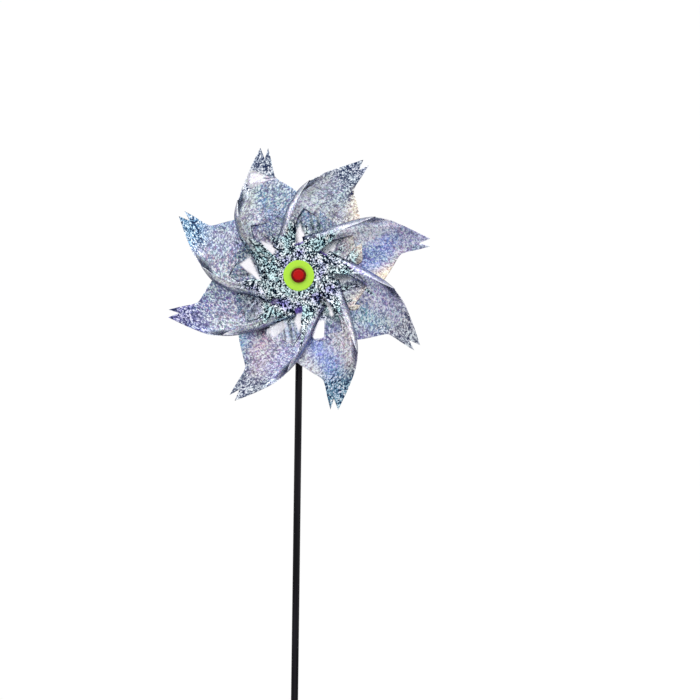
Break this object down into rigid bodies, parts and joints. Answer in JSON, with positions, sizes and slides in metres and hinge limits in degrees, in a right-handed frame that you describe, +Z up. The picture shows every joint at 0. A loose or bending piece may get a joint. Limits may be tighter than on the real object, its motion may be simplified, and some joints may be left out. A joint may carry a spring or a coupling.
{
  "type": "pinwheel",
  "caption": "Garden pinwheel: curled fork-tipped holographic film blades on a yellow-green hub, free to spin on a red push pin at the head of a slim black tube stake.",
  "frame": {"origin": "centre of the stake's lower end", "axes": "+Z up the stake; the wheel's face looks along -Y; +X is the viewer's right"},
  "size_m": [0.1754, 0.0359, 0.4647],
  "materials": {
    "stake_black": "glossy extruded tube",
    "head_black": "satin moulding",
    "pin_red": "glossy moulding",
    "hub_green": "semi-gloss moulding",
    "film_silver": "metallised holographic film with a broken-glitter pattern"
  },
  "bodies": {
    "stake": {"stake_tube": "stake_black", "stake_head": "head_black", "axle_pin": "pin_red"},
    "bead": {"spacer_bead": "hub_green"},
    "wheel": {"rear_hub": "hub_green", "front_hub": "hub_green", "film_blade_1": "film_silver", "film_blade_2": "film_silver", "film_blade_3": "film_silver", "film_blade_4": "film_silver", "film_blade_5": "film_silver", "film_blade_6": "film_silver", "film_blade_7": "film_silver", "film_blade_8": "film_silver"}
  },
  "joints": [
    {"name": "wheel_spin", "type": "hinge", "parent": "stake", "child": "wheel", "pos_m": [0, -0.0209, 0.377], "axis": [0, -1, 0], "continuous": true},
    {"name": "bead_spin", "type": "hinge", "parent": "stake", "child": "bead", "pos_m": [0, -0.0067, 0.377], "axis": [0, -1, 0], "continuous": true}
  ]
}
